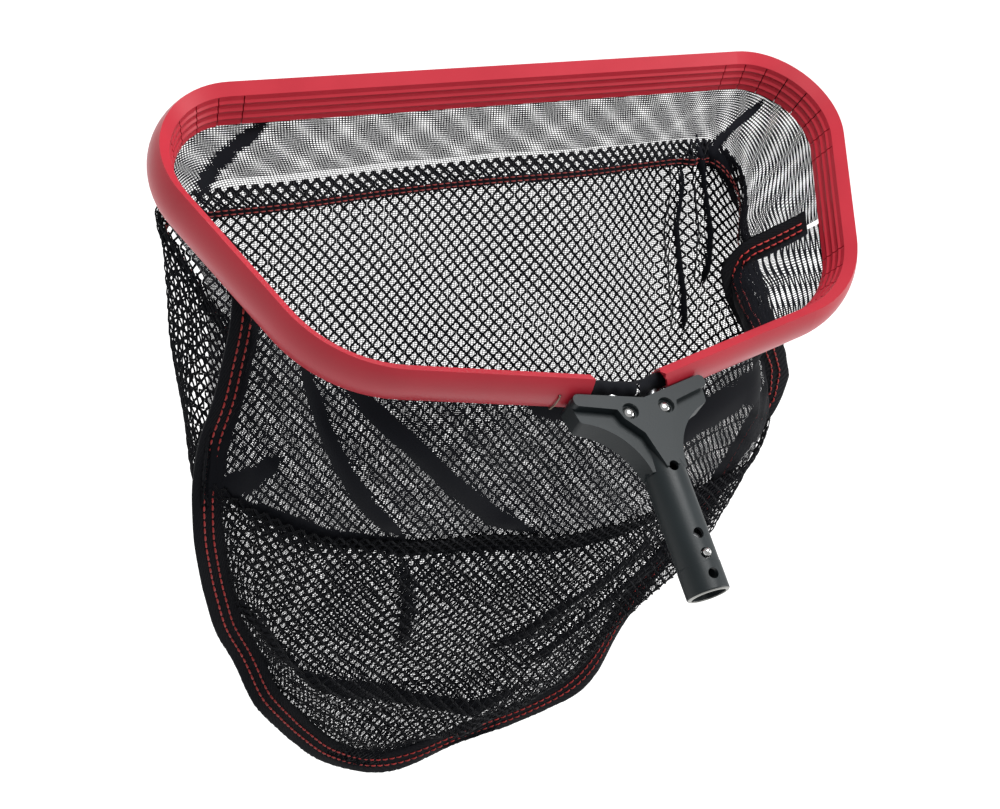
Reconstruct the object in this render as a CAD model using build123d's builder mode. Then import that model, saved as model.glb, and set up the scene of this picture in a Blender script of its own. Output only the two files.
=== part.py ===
from build123d import *
import os
from math import asin, cos, degrees, radians, sin, sqrt

# Leaf skimmer net: a five-sided aluminium hoop under a red clip-on cover, a deep mesh bag sewn
# to it, and a Y-shaped handle whose spigot slides into a telescopic pole and snaps in place.
# +X to the right, -Y out of the spigot towards the pole, +Z up. The origin is on the spigot's
# axis, in the middle of the stretch that the pole grips beyond the snap buttons.

# ---- driving dimensions (mm) ----

# hoop, measured on the crest line of the rim cover
front_width = 566.0        # front edge, corner to corner
rear_width = 392.0         # across the two rear corners
hoop_depth = 252.0         # front edge to the rear point at the handle
rear_rise = 43.0           # how far the rear corners stand ahead of the rear point
front_radius = 54.0
rear_radius = 85.0
rod_diameter = 8.0
rod_out = 3.6              # rod centre, outwards from the crest line
rod_drop = 15.0            # rod centre, below the crest line
rod_bend_radius = 13.0     # where the rod turns back into the handle
fit_gap = 0.3              # between pieces of one body that lie side by side

# rim cover, a hollow extrusion open at the bottom
cover_wall = 2.0
cover_lip = (7.4, 6.0)           # outwards and up from the crest line
cover_bulge = (12.0, -8.0)
cover_outer_foot = (9.2, -25.8)
cover_inner_foot = (-6.3, -21.3)
cover_rib = 0.7            # height of the beads along the inner wall
bead_shares = (0.24, 0.5, 0.76)   # of the inner wall, down from the crest
bead_half = 0.08
cover_gap_left = 33.0      # cover end to the middle plane, left of the handle
cover_gap_right = 15.0
cover_mitre = 13.0         # how far the slanted cut on the right-hand end runs back
slit_width = 0.8
slit_pitch = 18.0          # along the crest line at a corner
front_slits = 8
rear_slits = 5

# fabric sleeve round the rod, which the bag hangs from
sleeve_wall = 0.8
sleeve_top = -1.5          # below the crest line
sleeve_foot = -21.6
sleeve_point_radius = 40.0

# bag
bag_depth = 472.0          # along its hang direction, from the sleeve
bag_sway = 45.0            # how far the bottom of the bag hangs to the left
sway_growth = 1.2          # exponent of the sway along the depth
bag_tilt = 27.0            # hang direction, back from the hoop's normal
seam_set = 130.0           # seam line, behind the front edge at the rim
liner_wall = 0.9
net_wall = 1.2
layer_gap = 1.3            # between the liner and the net outside it
front_cuff = 40.0          # fine mesh above the front hem
rear_cuff = 128.0          # fine mesh above the rear hem
hem_height = 18.0
hem_wall = 1.6
tape_width = 21.0
tape_thickness = 2.4
bag_roundness = 2.5        # exponent of the seam's U shape
bag_end_share = 0.975      # share of the depth where the panels end inside the tape
panel_levels = (0.0, 0.25, 0.42, 0.58, 0.72, 0.84, 0.93)   # shares where a panel bends
rim_line = 1.5             # where the bag leaves the cover, outwards from the crest line
corner_share = 0.62        # width of the flat part of a panel near the bottom
tape_outside = 6.0         # tape edge beyond the seam line
tape_start = 9.0           # along the hang direction, clear of the cover's foot

# handle
spigot_diameter = 28.0
mouth_land_diameter = 28.4  # machined land that guides the pole, from the buttons to the mouth
mouth_land_start = 127.2   # from the hoop's rear point
spigot_seam = 35.0         # where the spigot's lathe profile is drawn, degrees up from +X
spigot_bore = 23.0
spigot_end = 146.0         # from the hoop's rear point, along the axis
bore_blind_end = 58.0
nose_start = 26.0          # where the spigot's nose leaves the Y-shaped body
nose_end = 64.0
nose_diameter = 13.0
handle_slope = 7.2         # how far the spigot dips below the hoop's plane, degrees
axis_drop = 10.65          # spigot axis below the crest line at the rear point
pin_holes = (108.5, 122.0, 135.5)   # from the hoop's rear point, along the axis
pin_hole_diameter = 7.2
drain_hole = 62.5
drain_hole_diameter = 6.8
end_round = 1.6
land_top = -4.0            # Y-shaped raised land, below the crest line
land_thickness = 6.0
land_reach = 50.0          # wing tip from the middle plane
body_reach = 51.0
body_foot = -25.5
wing_clear = 0.7           # wing to the cover's outer wall
bolt_spacing = 27.2
bolt_back = 21.0           # bolt line, behind the hoop's rear point
bolt_diameter = 5.0
bolt_head_diameter = 9.4
bolt_head_height = 2.6
recess_diameter = 11.6
recess_depth = 3.2
nut_across_flats = 8.0
nut_height = 4.0
washer_diameter = 11.0
washer_thickness = 1.0
rod_end_back = 37.0        # rod end, behind the hoop's rear point

# snap clip inside the spigot
clip_width = 8.0
clip_strip = 0.9
clip_bend_radius = 4.6     # outer
clip_tip_past = 7.0        # strip tip beyond the button's centre
clip_tip_height = 9.6      # strip's outer face from the axis at its tip
clip_gap = 0.35            # strip to the bend piece
button_diameter = 5.6
button_proud = 3.6
button_flange_diameter = 7.0
button_flange = 0.9
button_dome = 2.2
button_tail_diameter = 3.0
button_tail_proud = 0.5

# wire tie near the cover's left end
tie_from_end = 20.5
tie_wire = 1.2
tie_hole_diameter = 2.4
tie_hole_drop = 8.0        # below the crest line

# ---- places that follow from them ----

a = radians(handle_slope)
grip_middle = (pin_holes[1] + pin_hole_diameter / 2 + spigot_end) / 2
front_half = front_width / 2
rear_half = rear_width / 2

# local frame of the hoop: X as the row's, Y towards the front edge, Z normal to the hoop,
# with its origin at the rear point of the crest line
hoop = Plane(
    origin=(0, grip_middle + axis_drop * sin(a), axis_drop * cos(a)),
    x_dir=(1, 0, 0),
    z_dir=(0, sin(a), cos(a)),
)


def hoop_level(height):
    """The plane parallel to the hoop at a height over the crest line."""
    return hoop.offset(height)


def hoop_point(across, ahead, height=0.0):
    """A point of the hoop's local frame, in the row's frame."""
    return hoop.from_local_coords(Vector(across, ahead, height))


def along_axis(distance):
    """Row Y of a place on the spigot's axis, by its distance from the hoop's rear point."""
    return grip_middle - distance


side_length = sqrt((front_half - rear_half) ** 2 + (hoop_depth - rear_rise) ** 2)
side_lean = (front_half - rear_half) / side_length
side_run = (hoop_depth - rear_rise) / side_length
rear_length = sqrt(rear_half ** 2 + rear_rise ** 2)
rear_slope = rear_rise / rear_length
rear_flat = rear_half / rear_length


def hoop_corners(out):
    """Right-hand corners (front, rear, point) of the crest line, set outwards by a distance."""
    front = (front_half + out * (1 + side_lean) / side_run, hoop_depth + out)
    bisect = 1 + side_run * rear_slope + side_lean * rear_flat
    rear = (
        rear_half + out * (side_run + rear_slope) / bisect,
        rear_rise - out * (side_lean + rear_flat) / bisect,
    )
    point = (0.0, -out / rear_flat)
    return front, rear, point


def mirrored(corner):
    """The left-hand twin of a corner."""
    return (-corner[0], corner[1])


def rear_edge(across, out):
    """Local Y of the rear edge line set outwards, at a distance across."""
    return (abs(across) * rear_slope - out) / rear_flat


def side_edge(ahead, out):
    """Local X of the right-hand side line set outwards, at a distance ahead."""
    return rear_half + ((ahead - rear_rise) * side_lean + out) / side_run


def direction(across, ahead, up=0.0):
    """A direction of the hoop's local frame, in the row's frame."""
    return hoop_point(across, ahead, up) - hoop.origin


def hoop_run(out):
    """Corners from the left rear, clockwise to the right rear, with their radii."""
    front, rear, _ = hoop_corners(out)
    corners = [mirrored(rear), mirrored(front), front, rear]
    radii = [rear_radius + out, front_radius + out, front_radius + out, rear_radius + out]
    return corners, radii


def inner_wall(height):
    """Outer face of the cover's inner wall at a height: distance from the crest line."""
    return cover_inner_foot[0] * height / cover_inner_foot[1]


def outer_wall(height):
    """Chord of the cover's bulged outer wall at a height."""
    upper, lower = cover_lip, cover_bulge
    if height < cover_bulge[1]:
        upper, lower = cover_bulge, cover_outer_foot
    share = (height - lower[1]) / (upper[1] - lower[1])
    return lower[0] + share * (upper[0] - lower[0])


# ---- hoop rod and the sleeve round it ----

socket_x = bolt_spacing / 2
rod_corners, rod_radii = hoop_run(rod_out)
rod_bend = (socket_x, rear_edge(socket_x, rod_out))
rod_points = [(-socket_x, -rod_end_back), mirrored(rod_bend)] + rod_corners
rod_points += [rod_bend, (socket_x, -rod_end_back)]
rod_turns = [rod_bend_radius] + rod_radii + [rod_bend_radius]

with BuildLine(hoop_level(-rod_drop)) as rod_path:
    FilletPolyline(*rod_points, radius=rod_turns)

rod_start = Plane(origin=rod_path.wire() @ 0, x_dir=(1, 0, 0), z_dir=rod_path.wire() % 0)

with BuildPart() as hoop_rod:
    with BuildSketch(rod_start):
        Circle(rod_diameter / 2)
    sweep(path=rod_path.wire())
    with Locations(hoop_level(0)):
        with Locations((-socket_x, -bolt_back, -rod_drop), (socket_x, -bolt_back, -rod_drop)):
            Cylinder(bolt_diameter / 2 + 0.1, rod_diameter + 2, mode=Mode.SUBTRACT)

# the space that the rod needs where it leaves the sleeve and enters the handle
with BuildPart() as rod_space:
    with BuildSketch(rod_start):
        Circle(rod_diameter / 2 + 0.15)
    sweep(path=rod_path.wire())

sleeve_inset = (cover_wall + fit_gap) / side_run
sleeve_outline = [
    (inner_wall(sleeve_foot) + sleeve_inset, sleeve_foot),
    (inner_wall(sleeve_top) + sleeve_inset, sleeve_top),
    (outer_wall(sleeve_top) - sleeve_inset, sleeve_top),
    (outer_wall(cover_bulge[1]) - sleeve_inset, cover_bulge[1]),
    (outer_wall(sleeve_foot) - sleeve_inset, sleeve_foot),
]
sleeve_corners, sleeve_radii = hoop_run(0)

with BuildLine(hoop_level(0)) as sleeve_path:
    FilletPolyline(
        hoop_corners(0)[2], *sleeve_corners, radius=[sleeve_point_radius] + sleeve_radii, close=True
    )


def section_plane(path, share):
    """Plane across a clockwise path, with X outwards from the hoop and Y up."""
    outwards = hoop.z_dir.cross(path % share)
    return Plane(origin=path @ share, x_dir=outwards, z_dir=path % share)


with BuildPart() as bag_sleeve:
    with BuildSketch(section_plane(sleeve_path.wire(), 0)):
        with BuildLine():
            Polyline(*sleeve_outline, close=True)
        make_face()
        offset(amount=-sleeve_wall, mode=Mode.SUBTRACT)
    sweep(path=sleeve_path.wire())
    add(rod_space.part, mode=Mode.SUBTRACT)

# ---- rim cover ----

cover_start_corner = (-cover_gap_left, rear_edge(cover_gap_left, 0))
cover_end_corner = (cover_gap_right, rear_edge(cover_gap_right, 0))
crest_corners, crest_radii = hoop_run(0)

with BuildLine(hoop_level(0)) as crest:
    FilletPolyline(cover_start_corner, *crest_corners, cover_end_corner, radius=crest_radii)

foot_out = cover_outer_foot[0] - cover_wall
slot_top = cover_inner_foot[1] + 2 * cover_wall
slot_foot = cover_outer_foot[1] - 1
slit_depth = -cover_inner_foot[1] + 4
tie_along = tie_from_end / crest.wire().length
tie_face = outer_wall(-tie_hole_drop)


# plane of the slanted cut on the right-hand end: X along the crest line into the cover, Y up
cover_end = Plane(
    origin=crest.wire() @ 1,
    x_dir=-(crest.wire() % 1),
    z_dir=(crest.wire() % 1).cross(hoop.z_dir) * -1,
)


def crest_plane(share):
    """Plane on the crest line with X outwards and Z normal to the hoop."""
    outwards = hoop.z_dir.cross(crest.wire() % share)
    return Plane(origin=crest.wire() @ share, x_dir=outwards, z_dir=hoop.z_dir)


beads = []
for bead in sorted(bead_shares, reverse=True):
    for share, rise in ((bead + bead_half, 0), (bead, cover_rib), (bead - bead_half, 0)):
        level = cover_inner_foot[1] * share
        beads.append((inner_wall(level) - rise, level))

with BuildPart() as rim_cover:
    with BuildSketch(section_plane(crest.wire(), 0)):
        with BuildLine():
            Polyline(cover_inner_foot, *beads, (0, 0), cover_lip)
            ThreePointArc(cover_lip, cover_bulge, cover_outer_foot)
            Line(cover_outer_foot, cover_inner_foot)
        make_face()
        offset(amount=-cover_wall, mode=Mode.SUBTRACT)
        with BuildLine():
            Polyline(
                (inner_wall(slot_top) + cover_wall / side_run, slot_top),
                (foot_out + 0.6, slot_top),
                (foot_out, slot_foot),
                (inner_wall(slot_foot) + cover_wall / side_run, slot_foot),
                close=True,
            )
        make_face(mode=Mode.SUBTRACT)
    sweep(path=crest.wire())
    with BuildSketch(cover_end):
        with BuildLine():
            Polyline(
                (-cover_mitre, 2),
                (cover_mitre * 0.1, 2),
                (cover_mitre, cover_outer_foot[1] - 2),
                (-cover_mitre, cover_outer_foot[1] - 2),
                close=True,
            )
        make_face()
    extrude(amount=2 * cover_bulge[0], both=True, mode=Mode.SUBTRACT)
    corner_arcs = crest.wire().edges().filter_by(GeomType.CIRCLE)
    for arc in corner_arcs:
        at_front = arc.radius < (front_radius + rear_radius) / 2
        slits = front_slits if at_front else rear_slits
        middle = crest.wire().param_at_point(arc @ 0.5)
        for turn in range(slits):
            share = middle + (turn - (slits - 1) / 2) * slit_pitch / crest.wire().length
            with Locations(crest_plane(share)):
                with Locations((inner_wall(-slit_depth) / 2, 0, -slit_depth / 2 - 0.5)):
                    Box(10, slit_width, slit_depth, mode=Mode.SUBTRACT)
    with Locations(crest_plane(tie_along)):
        with Locations(Location((tie_face, 0, -tie_hole_drop), (0, 90, 0))):
            Cylinder(tie_hole_diameter / 2, 3 * cover_wall, mode=Mode.SUBTRACT)

# ---- wire tie through the cover's left end ----

tie_out = tie_wire / 2 + 0.15
tie_foot = cover_outer_foot[1] - tie_out
tie_reach = cover_bulge[0] + tie_out + 0.5
tie_section = section_plane(crest.wire(), tie_along)

with BuildLine(tie_section) as tie_path:
    FilletPolyline(
        (tie_face - 0.4, -tie_hole_drop),
        (tie_reach, -tie_hole_drop),
        (tie_reach, (cover_outer_foot[1] - tie_hole_drop) / 2),
        (cover_outer_foot[0] + 2 * tie_out, tie_foot),
        (foot_out - tie_out, tie_foot),
        (foot_out - tie_out, sleeve_foot - tie_wire),
        radius=tie_wire,
    )

with BuildPart() as wire_tie:
    with BuildSketch(Plane(origin=tie_path.wire() @ 0, z_dir=tie_path.wire() % 0)):
        Circle(tie_wire / 2)
    sweep(path=tie_path.wire(), transition=Transition.ROUND)

# ---- bag ----

lean = radians(bag_tilt)
bag_top = sleeve_foot - 0.7
bag_end = bag_end_share * bag_depth
seam_ahead_top = hoop_depth - seam_set
seam_half_top = side_edge(seam_ahead_top, rim_line)
seam_clear = (tape_thickness / 2 + fit_gap) / cos(lean)
seam_steps = 12            # spline points on each half of the seam
seam_share = 0.4           # how much further off the seam plane an outer layer starts


def bag_height(depth):
    """Height over the crest line of a place at a depth along the hang direction."""
    return bag_top - depth * cos(lean)


def seam_ahead(depth):
    """Local Y of the seam at a depth."""
    return seam_ahead_top - depth * sin(lean)


def seam_half(depth):
    """Half the bag's width along the seam at a depth."""
    return seam_half_top * sqrt(1 - (depth / bag_depth) ** bag_roundness)


def seam_middle(depth):
    """Row X of the bag's middle at a depth."""
    return -bag_sway * (depth / bag_depth) ** sway_growth


def swayed(outline, depth):
    """The outline moved sideways by the bag's sway at a depth."""
    return [(x + seam_middle(depth), y) for x, y in outline]


def front_profile(depth, clear):
    """Seam, corner, corner and seam of the front liner's outer face at a depth, clockwise."""
    share = depth / bag_depth
    at_rim = hoop_corners(rim_line)[0]
    half = seam_half(depth)
    seam = (half, seam_ahead(depth) + clear)
    reach = (at_rim[1] - seam_ahead_top) * (1 - share) ** 1.1
    corner_half = at_rim[0] * (1 - share) + corner_share * half * share
    corner = (corner_half, seam[1] + reach)
    outline = [mirrored(seam), mirrored(corner), corner, seam]
    return swayed(outline, depth), [front_radius * (1 - 0.3 * share)] * 2


def rear_profile(depth, clear):
    """Seam, corner, middle, corner and seam of the rear liner's outer face, clockwise."""
    share = depth / bag_depth
    _, at_rim, point = hoop_corners(rim_line)
    half = seam_half(depth)
    seam = (half, seam_ahead(depth) - clear)
    shrink = (1 - share) ** 0.9
    corner_half = at_rim[0] * (1 - share) + corner_share * half * share
    corner = (corner_half, seam[1] - (seam_ahead_top - at_rim[1]) * shrink)
    middle = (0.0, seam[1] - (seam_ahead_top - point[1]) * shrink)
    corner_radius = rear_radius * (1 - 0.3 * share)
    outline = [seam, corner, middle, mirrored(corner), mirrored(seam)]
    return swayed(outline, depth), [corner_radius, corner_radius, corner_radius]


def sewn_panel(profile, from_depth, to_depth, spread, wall):
    """A thin panel lofted through the bag's outline between two depths."""
    inside = [share * bag_depth for share in panel_levels]
    depths = [from_depth] + [d for d in inside if from_depth < d < to_depth] + [to_depth]
    clear = seam_clear + wall + seam_share * spread
    with BuildPart() as panel:
        for depth in depths:
            outline, radii = profile(depth, clear)
            with BuildSketch(hoop_level(bag_height(depth))):
                with BuildLine():
                    FilletPolyline(*outline, radius=radii)
                    if spread > 0:
                        offset(amount=spread, side=Side.LEFT, closed=False, mode=Mode.REPLACE)
                    offset(amount=wall, side=Side.RIGHT)
                make_face()
        loft(ruled=True)
    return panel


net_spread = net_wall + layer_gap
hem_spread = net_spread + hem_wall + fit_gap

mesh_liner_front = sewn_panel(front_profile, 0, bag_end, 0, liner_wall)
mesh_liner_rear = sewn_panel(rear_profile, 0, bag_end, 0, liner_wall)
net_front = sewn_panel(front_profile, front_cuff, bag_end, net_spread, net_wall)
net_rear = sewn_panel(rear_profile, rear_cuff, bag_end, net_spread, net_wall)
hem_front = sewn_panel(front_profile, front_cuff, front_cuff + hem_height, hem_spread, hem_wall)
hem_rear = sewn_panel(rear_profile, rear_cuff, rear_cuff + hem_height, hem_spread, hem_wall)

seam_plane = Plane(
    origin=hoop_point(0, seam_ahead_top, bag_top),
    x_dir=(1, 0, 0),
    z_dir=direction(0, -cos(lean), sin(lean)),
)


def seam_curve(outside):
    """Points of the seam's U shape set outwards, from the left top to the right top."""
    half = seam_half_top + outside
    depth = bag_depth + outside
    first = degrees(asin((tape_start / depth) ** (bag_roundness / 2)))
    points = []
    for step in range(-seam_steps, seam_steps + 1):
        turn = radians(90 - abs(step) / seam_steps * (90 - first))
        fall = depth * sin(turn) ** (2 / bag_roundness)
        across = half * cos(turn) if step > 0 else -half * cos(turn)
        points.append((across + seam_middle(fall), -fall))
    return points


with BuildPart() as seam_tape:
    with BuildSketch(seam_plane):
        with BuildLine():
            outer_edge = Spline(*seam_curve(tape_outside))
            inner_edge = Spline(*seam_curve(tape_outside - tape_width))
            Line(outer_edge @ 0, inner_edge @ 0)
            Line(outer_edge @ 1, inner_edge @ 1)
        make_face()
    extrude(amount=tape_thickness / 2, both=True)

# ---- handle casting ----

spigot_radius = spigot_diameter / 2
wing_out = cover_bulge[0] + wing_clear
land_foot = land_top - land_thickness
tail_end = -nose_end * cos(a)

with BuildPart() as handle_casting:
    with BuildSketch(hoop_level(body_foot)):
        with BuildLine():
            front_middle = (0, rear_edge(0, wing_out))
            tip_front = (body_reach, rear_edge(body_reach, wing_out))
            tip_back = (body_reach - 3, tip_front[1] - 19)
            stem_side = (spigot_radius - 1, tail_end)
            Polyline((0, tail_end), front_middle, tip_front, tip_back)
            ThreePointArc(tip_back, (body_reach * 0.5, -35), stem_side)
            Line(stem_side, (0, tail_end))
        make_face()
        fillet(vertices().sort_by(Axis.X)[-2:], radius=3.5)
        mirror(about=Plane.YZ)
    extrude(amount=land_foot - body_foot)
    with BuildSketch(hoop_level(land_foot - 1)):
        with BuildLine():
            land_front = (land_reach, rear_edge(land_reach, wing_out))
            Polyline(
                (0, tail_end),
                front_middle,
                land_front,
                (land_reach, land_front[1] - 9),
                (land_reach * 0.45, -18.5),
                (socket_x + 6.5, -25.5),
                (10, -38),
                (5, tail_end),
                close=True,
            )
        make_face()
        fillet(vertices().group_by(Axis.X)[-1], radius=4)
        mirror(about=Plane.YZ)
    extrude(amount=land_thickness + 1)
    seam_turn = radians(spigot_seam)
    profile_normal = (sin(seam_turn), 0, -cos(seam_turn))
    with BuildSketch(Plane(origin=(0, 0, 0), x_dir=(0, 1, 0), z_dir=profile_normal)):
        with BuildLine():
            land_radius = mouth_land_diameter / 2
            Polyline(
                (along_axis(nose_start), 0),
                (along_axis(nose_start), nose_diameter / 2),
                (along_axis(nose_end), spigot_radius),
                (along_axis(mouth_land_start - 0.6), spigot_radius),
                (along_axis(mouth_land_start), land_radius),
                (along_axis(spigot_end), land_radius),
                (along_axis(spigot_end), 0),
                close=True,
            )
        make_face()
        mouth_corner = vertices().group_by(Axis.X)[0].sort_by(Axis.Y)[-1]
        fillet(mouth_corner, radius=end_round)
    revolve(axis=Axis.Y)
    with Locations(Plane(origin=(0, along_axis(spigot_end), 0), z_dir=(0, 1, 0))):
        bore_length = spigot_end - bore_blind_end
        Cylinder(
            spigot_bore / 2,
            bore_length,
            align=(Align.CENTER, Align.CENTER, Align.MIN),
            mode=Mode.SUBTRACT,
        )
    for place in pin_holes:
        with Locations((0, along_axis(place), 0)):
            Cylinder(pin_hole_diameter / 2, 2 * spigot_diameter, mode=Mode.SUBTRACT)
    with Locations((0, along_axis(drain_hole), spigot_diameter / 2)):
        Cylinder(drain_hole_diameter / 2, spigot_diameter, mode=Mode.SUBTRACT)
    add(rod_space.part, mode=Mode.SUBTRACT)
    with Locations(hoop_level(land_top)):
        with Locations((-socket_x, -bolt_back), (socket_x, -bolt_back)):
            Cylinder(recess_diameter / 2, 2 * recess_depth, mode=Mode.SUBTRACT)
            Cylinder(bolt_diameter / 2 + 0.1, 3 * -body_foot, mode=Mode.SUBTRACT)

# ---- bolts, washers and nuts that hold the rod ends in the handle ----

bolt_places = [(-socket_x, -bolt_back), (socket_x, -bolt_back)]
seat = land_top - recess_depth
nut_top = body_foot - washer_thickness
bolt_foot = nut_top - nut_height - 1.2
head_sphere = ((bolt_head_diameter / 2) ** 2 + bolt_head_height ** 2) / (2 * bolt_head_height)

with BuildPart() as clamp_bolts:
    with BuildSketch(Plane(origin=hoop_point(socket_x, -bolt_back), x_dir=(1, 0, 0), z_dir=-hoop.y_dir)):
        with BuildLine():
            Polyline(
                (bolt_head_diameter / 2, seat),
                (bolt_diameter / 2, seat),
                (bolt_diameter / 2, bolt_foot),
                (0, bolt_foot),
                (0, seat + bolt_head_height),
            )
            RadiusArc(
                (0, seat + bolt_head_height), (bolt_head_diameter / 2, seat), head_sphere
            )
        make_face()
    revolve(axis=Axis(hoop_point(socket_x, -bolt_back), hoop.z_dir))
    mirror(about=Plane.YZ)

with BuildPart() as clamp_washers:
    with BuildSketch(hoop_level(body_foot)):
        with Locations(*bolt_places):
            Circle(washer_diameter / 2)
            Circle(bolt_diameter / 2 + 0.2, mode=Mode.SUBTRACT)
    extrude(amount=-washer_thickness)

with BuildPart() as clamp_nuts:
    with BuildSketch(hoop_level(nut_top)):
        with Locations(*bolt_places):
            RegularPolygon(nut_across_flats / 2, 6, major_radius=False)
            Circle(bolt_diameter / 2, mode=Mode.SUBTRACT)
    extrude(amount=-nut_height)

# ---- snap clip: a bend at the bore's blind end, two strips and a button on each ----

clip_bend_at = bore_blind_end + clip_bend_radius
clip_tip_at = pin_holes[1] + clip_tip_past
clip_root_at = clip_bend_at + clip_gap
strip_slope = (clip_tip_height - clip_bend_radius) / (clip_tip_at - clip_root_at)
strip_height = clip_bend_radius + strip_slope * (pin_holes[1] - clip_root_at)
# section plane of the spigot: X along the axis towards the mouth, Y up
lengthwise = Plane(origin=(0, along_axis(0), 0), x_dir=(0, -1, 0), z_dir=(-1, 0, 0))

with BuildPart() as clip_bend:
    with BuildSketch(lengthwise):
        with Locations((clip_bend_at, 0)):
            Circle(clip_bend_radius)
            Circle(clip_bend_radius - clip_strip, mode=Mode.SUBTRACT)
            with Locations((clip_bend_radius, 0)):
                Rectangle(2 * clip_bend_radius, 2 * clip_bend_radius, mode=Mode.SUBTRACT)
    extrude(amount=clip_width / 2, both=True)

with BuildPart() as clip_strip_upper:
    with BuildSketch(lengthwise):
        with BuildLine():
            Polyline(
                (clip_root_at, clip_bend_radius),
                (clip_tip_at, clip_tip_height),
                (clip_tip_at, clip_tip_height - clip_strip),
                (clip_root_at, clip_bend_radius - clip_strip),
                close=True,
            )
        make_face()
    extrude(amount=clip_width / 2, both=True)
    fillet(edges().filter_by(Axis.Z).group_by(Axis.Y)[0], radius=2)
    with Locations((0, along_axis(pin_holes[1]), strip_height)):
        Cylinder(button_tail_diameter / 2, 4 * clip_strip, mode=Mode.SUBTRACT)

button_top = spigot_radius + button_proud
flange_foot = strip_height + strip_slope * button_flange_diameter / 2 + 0.05
flange_top = flange_foot + button_flange
tail_foot = strip_height - clip_strip - button_tail_proud
dome_start = button_top - button_dome
dome_sphere = ((button_diameter / 2) ** 2 + button_dome ** 2) / (2 * button_dome)
button_at = Plane(
    origin=(0, along_axis(pin_holes[1]), 0), x_dir=(0, -1, 0), z_dir=(-1, 0, 0)
)

with BuildPart() as clip_button_upper:
    with BuildSketch(button_at):
        with BuildLine():
            Polyline(
                (0, button_top),
                (0, tail_foot),
                (button_tail_diameter / 2 - 0.05, tail_foot),
                (button_tail_diameter / 2 - 0.05, flange_foot),
                (button_flange_diameter / 2, flange_foot),
                (button_flange_diameter / 2, flange_top),
                (button_diameter / 2, flange_top),
                (button_diameter / 2, dome_start),
            )
            RadiusArc((0, button_top), (button_diameter / 2, dome_start), dome_sphere)
        make_face()
    revolve(axis=Axis((0, along_axis(pin_holes[1]), 0), (0, 0, 1)))

with BuildPart() as clip_strip_lower:
    mirror(clip_strip_upper.part, about=Plane.XY)

with BuildPart() as clip_button_lower:
    mirror(clip_button_upper.part, about=Plane.XY)

# ---- write every piece to its own file ----

pieces = {
    "hoop_rod": hoop_rod,
    "rim_cover": rim_cover,
    "bag_sleeve": bag_sleeve,
    "wire_tie": wire_tie,
    "mesh_liner_front": mesh_liner_front,
    "mesh_liner_rear": mesh_liner_rear,
    "net_front": net_front,
    "net_rear": net_rear,
    "hem_front": hem_front,
    "hem_rear": hem_rear,
    "seam_tape": seam_tape,
    "handle_casting": handle_casting,
    "clamp_bolts": clamp_bolts,
    "clamp_washers": clamp_washers,
    "clamp_nuts": clamp_nuts,
    "clip_bend": clip_bend,
    "clip_strip_upper": clip_strip_upper,
    "clip_strip_lower": clip_strip_lower,
    "clip_button_upper": clip_button_upper,
    "clip_button_lower": clip_button_lower,
}

os.makedirs("parts", exist_ok=True)
for label, piece in pieces.items():
    piece.part.label = label
    export_step(piece.part, f"parts/{label}.step")
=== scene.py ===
import math

import bpy
import numpy as np
from bpy.props import FloatProperty, FloatVectorProperty, PointerProperty
from mathutils import Matrix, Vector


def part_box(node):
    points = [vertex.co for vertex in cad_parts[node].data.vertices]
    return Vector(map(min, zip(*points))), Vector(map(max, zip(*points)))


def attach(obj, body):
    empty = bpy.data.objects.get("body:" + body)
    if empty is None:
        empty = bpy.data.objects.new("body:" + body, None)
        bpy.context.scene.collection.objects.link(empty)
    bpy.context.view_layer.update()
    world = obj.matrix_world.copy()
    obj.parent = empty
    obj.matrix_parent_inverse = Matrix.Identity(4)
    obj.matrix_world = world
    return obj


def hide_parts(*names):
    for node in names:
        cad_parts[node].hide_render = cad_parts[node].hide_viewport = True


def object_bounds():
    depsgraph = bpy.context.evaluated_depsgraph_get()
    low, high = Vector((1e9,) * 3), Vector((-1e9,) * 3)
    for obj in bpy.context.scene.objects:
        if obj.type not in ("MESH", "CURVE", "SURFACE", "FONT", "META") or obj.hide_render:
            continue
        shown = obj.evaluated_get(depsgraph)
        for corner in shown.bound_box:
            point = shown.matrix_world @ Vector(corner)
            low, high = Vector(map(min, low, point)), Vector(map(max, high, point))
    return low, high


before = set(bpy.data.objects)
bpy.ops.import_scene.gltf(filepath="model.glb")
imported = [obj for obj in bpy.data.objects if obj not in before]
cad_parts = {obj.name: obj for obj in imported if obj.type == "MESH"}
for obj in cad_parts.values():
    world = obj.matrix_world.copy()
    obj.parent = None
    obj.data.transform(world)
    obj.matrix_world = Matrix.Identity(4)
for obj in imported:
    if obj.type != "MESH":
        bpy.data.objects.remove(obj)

bl_info = {
    "name": "Leaf Skimmer Net",
    "version": (1, 0, 0),
    "blender": (4, 5, 0),
    "location": "View3D > Sidebar > Leaf Net",
    "description": "Knitted bag, edge tape, stitching and finishes of a pool leaf skimmer net",
    "category": "Add Mesh",
}

CAD_LOW, CAD_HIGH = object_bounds()
BODY = "net"
BAKE_UV = "OFBake"
FOLD = "fold"

# ---- the hoop's own frame: X to the right, Y towards the front edge, Z out of the hoop, with its
# origin at the rear point of the rim cover's crest line ----
HANDLE_SLOPE = math.radians(7.2)
SPIGOT_END = 0.146          # from the rear point, along the spigot
AXIS_DROP = 0.01065         # spigot axis below the crest line at the rear point
FRONT_HALF = 0.283
REAR_HALF = 0.196
HOOP_DEPTH = 0.252
REAR_RISE = 0.043
FRONT_RADIUS = 0.054
REAR_RADIUS = 0.085
BAG_TOP = -0.0223
SEAM_TOP = 0.122            # seam line at the rim
RIM_LINE = 0.0015
SEAM_CLEAR = 0.0017
LINER_INSET = 0.034         # how far the liner hangs inside the net at the front left corner


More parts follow.
